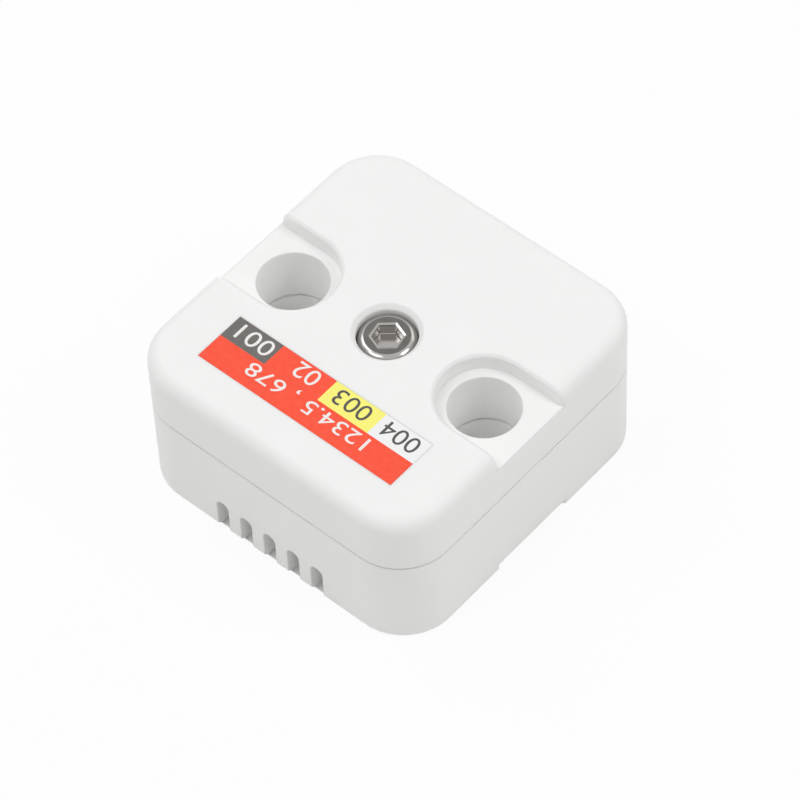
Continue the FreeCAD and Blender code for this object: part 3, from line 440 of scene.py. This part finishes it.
# Circuit board: glass-filled epoxy under green solder mask, clamped between the shells' posts.
# Its cut edges show the bare laminate, and copper tracks stand slightly proud under the mask.
board_low, board_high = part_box("circuit_board")
mask_depth = 0.02 * MM
mask_green, track_green = (0.020, 0.115, 0.055, 1.0), (0.035, 0.190, 0.085, 1.0)
resin, glass = (0.50, 0.44, 0.24, 1.0), (0.62, 0.56, 0.34, 1.0)
board_green, tree, shader, place = new_finish("board_green")
height = add_axes(tree, place)["Z"]
above = add_math(tree, "GREATER_THAN", height, board_low[2] + mask_depth)
below = add_math(tree, "GREATER_THAN", height, board_high[2] - mask_depth)
inner = add_math(tree, "SUBTRACT", above, below)
tracks = tree.nodes.new("ShaderNodeTexBrick")
tracks.inputs["Scale"].default_value = 420.0
tracks.inputs["Mortar Size"].default_value = 0.035
tracks.inputs["Mortar Smooth"].default_value = 0.1
tree.links.new(place, tracks.inputs["Vector"])
copper_under = add_mix(tree, tracks.outputs["Fac"], mask_green, track_green)
weave = add_mix(tree, add_noise(tree, place, 0.12 * MM), resin, glass)
tree.links.new(add_mix(tree, inner, copper_under, weave), shader.inputs["Base Color"])
add_gloss(tree, shader, place, 0.3 * MM, 0.25, 0.38)
add_skin(tree, shader, tracks.outputs["Fac"], mask_depth, 0.03 * MM)
finish_node("circuit_board", board_green)

# Gas sensor: a small moulded package soldered face down over the vents.
# A porous film closes its round window, and its six pads are gold plated.
sensor_mould = grained_finish(
    "sensor_mould",
    tones=((0.012, 0.012, 0.013, 1.0), (0.022, 0.022, 0.024, 1.0)),
    grain=0.05 * MM,
    gloss=(0.5, 0.65),
    gloss_grain=0.1 * MM,
    skin_grain=0.04 * MM,
    skin_depth=0.002 * MM,
    edge_radius=0.03 * MM,
)
finish_node("gas_sensor_package", sensor_mould)

pore_grey, film_grey = (0.52, 0.52, 0.50, 1.0), (0.82, 0.82, 0.80, 1.0)
porous_film, tree, shader, place = new_finish("porous_film")
pores = tree.nodes.new("ShaderNodeTexVoronoi")
pores.inputs["Scale"].default_value = 14000.0
tree.links.new(place, pores.inputs["Vector"])
tree.links.new(add_mix(tree, pores.outputs["Distance"], pore_grey, film_grey), shader.inputs["Base Color"])
shader.inputs["Roughness"].default_value = 0.85
shader.inputs["Sheen Weight"].default_value = 0.2
add_skin(tree, shader, pores.outputs["Distance"], 0.01 * MM, 0.01 * MM)
finish_node("gas_sensor_membrane", porous_film)

gold = grained_finish(
    "gold_plating",
    tones=((0.86, 0.62, 0.26, 1.0), (0.93, 0.72, 0.36, 1.0)),
    grain=0.3 * MM,
    gloss=(0.2, 0.32),
    gloss_grain=0.08 * MM,
    skin_grain=0.06 * MM,
    skin_depth=0.0008 * MM,
    edge_radius=0.03 * MM,
    metallic=1.0,
)
finish_node("gas_sensor_pads", gold)

# Regulator and level shift transistors: black epoxy packages on bent, tin plated leads.
# Each package has the fine matte skin of its mould, and the board's other tinned parts match the leads.
package_epoxy = grained_finish(
    "package_epoxy",
    tones=((0.016, 0.016, 0.018, 1.0), (0.030, 0.030, 0.033, 1.0)),
    grain=0.08 * MM,
    detail=4.0,
    gloss=(0.55, 0.72),
    gloss_grain=0.06 * MM,
    skin_grain=0.05 * MM,
    skin_depth=0.004 * MM,
    edge_radius=0.05 * MM,
)
for name in ("voltage_regulator", "level_shift_transistor_clock", "level_shift_transistor_data"):
    finish_node(name, package_epoxy)

tin = grained_finish(
    "tin_plating",
    tones=((0.56, 0.56, 0.55, 1.0), (0.72, 0.72, 0.71, 1.0)),
    grain=0.25 * MM,
    detail=3.0,
    gloss=(0.28, 0.45),
    gloss_grain=0.1 * MM,
    skin_grain=0.08 * MM,
    skin_depth=0.003 * MM,
    edge_radius=0.04 * MM,
    metallic=1.0,
)
for name in ("voltage_regulator_leads", "transistor_leads", "chip_end_caps"):
    finish_node(name, tin)

# Chip capacitors and resistors: fired ceramic blocks with tin plated end caps.
# The capacitors are bare tan ceramic, and the resistors carry a black glass coat over white alumina.
ceramic = grained_finish(
    "capacitor_ceramic",
    tones=((0.30, 0.185, 0.095, 1.0), (0.38, 0.245, 0.135, 1.0)),
    grain=0.1 * MM,
    detail=4.0,
    gloss=(0.35, 0.5),
    gloss_grain=0.08 * MM,
    skin_grain=0.06 * MM,
    skin_depth=0.002 * MM,
    edge_radius=0.05 * MM,
)
for name in ("input_capacitor", "output_capacitor", "sensor_capacitor"):
    finish_node(name, ceramic)

coat_thickness = 0.06 * MM
coat_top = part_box("pull_up_resistors")[0][2] + coat_thickness
coat_black, alumina_white = (0.012, 0.012, 0.014, 1.0), (0.78, 0.78, 0.76, 1.0)
resistor_coat, tree, shader, place = new_finish("resistor_coat")
alumina = add_math(tree, "GREATER_THAN", add_axes(tree, place)["Z"], coat_top)
tree.links.new(add_mix(tree, alumina, coat_black, alumina_white), shader.inputs["Base Color"])
add_gloss(tree, shader, place, 0.08 * MM, 0.2, 0.4)
add_skin(tree, shader, add_noise(tree, place, 0.07 * MM), 0.002 * MM, 0.03 * MM)
finish_node("pull_up_resistors", resistor_coat)

# Plug socket: moulded in off-white polyester, open towards the side opposite the vents.
# Four square pins stand in it, and two tin plated tabs hold it down to the board.
socket_ivory = grained_finish(
    "socket_ivory",
    tones=((0.74, 0.72, 0.64, 1.0), (0.78, 0.76, 0.69, 1.0)),
    grain=2 * MM,
    gloss=(0.32, 0.45),
    gloss_grain=0.2 * MM,
    skin_grain=0.15 * MM,
    skin_depth=0.0012 * MM,
    edge_radius=0.06 * MM,
)
shader = socket_ivory.node_tree.nodes["Principled BSDF"]
shader.inputs["Subsurface Weight"].default_value = 0.08
shader.inputs["Subsurface Scale"].default_value = 0.4 * MM
finish_node("port_housing", socket_ivory)
for index in range(4):
    finish_node(f"port_contact_{index + 1}", gold)
for name in ("port_solder_tab_left", "port_solder_tab_right"):
    finish_node(name, tin)
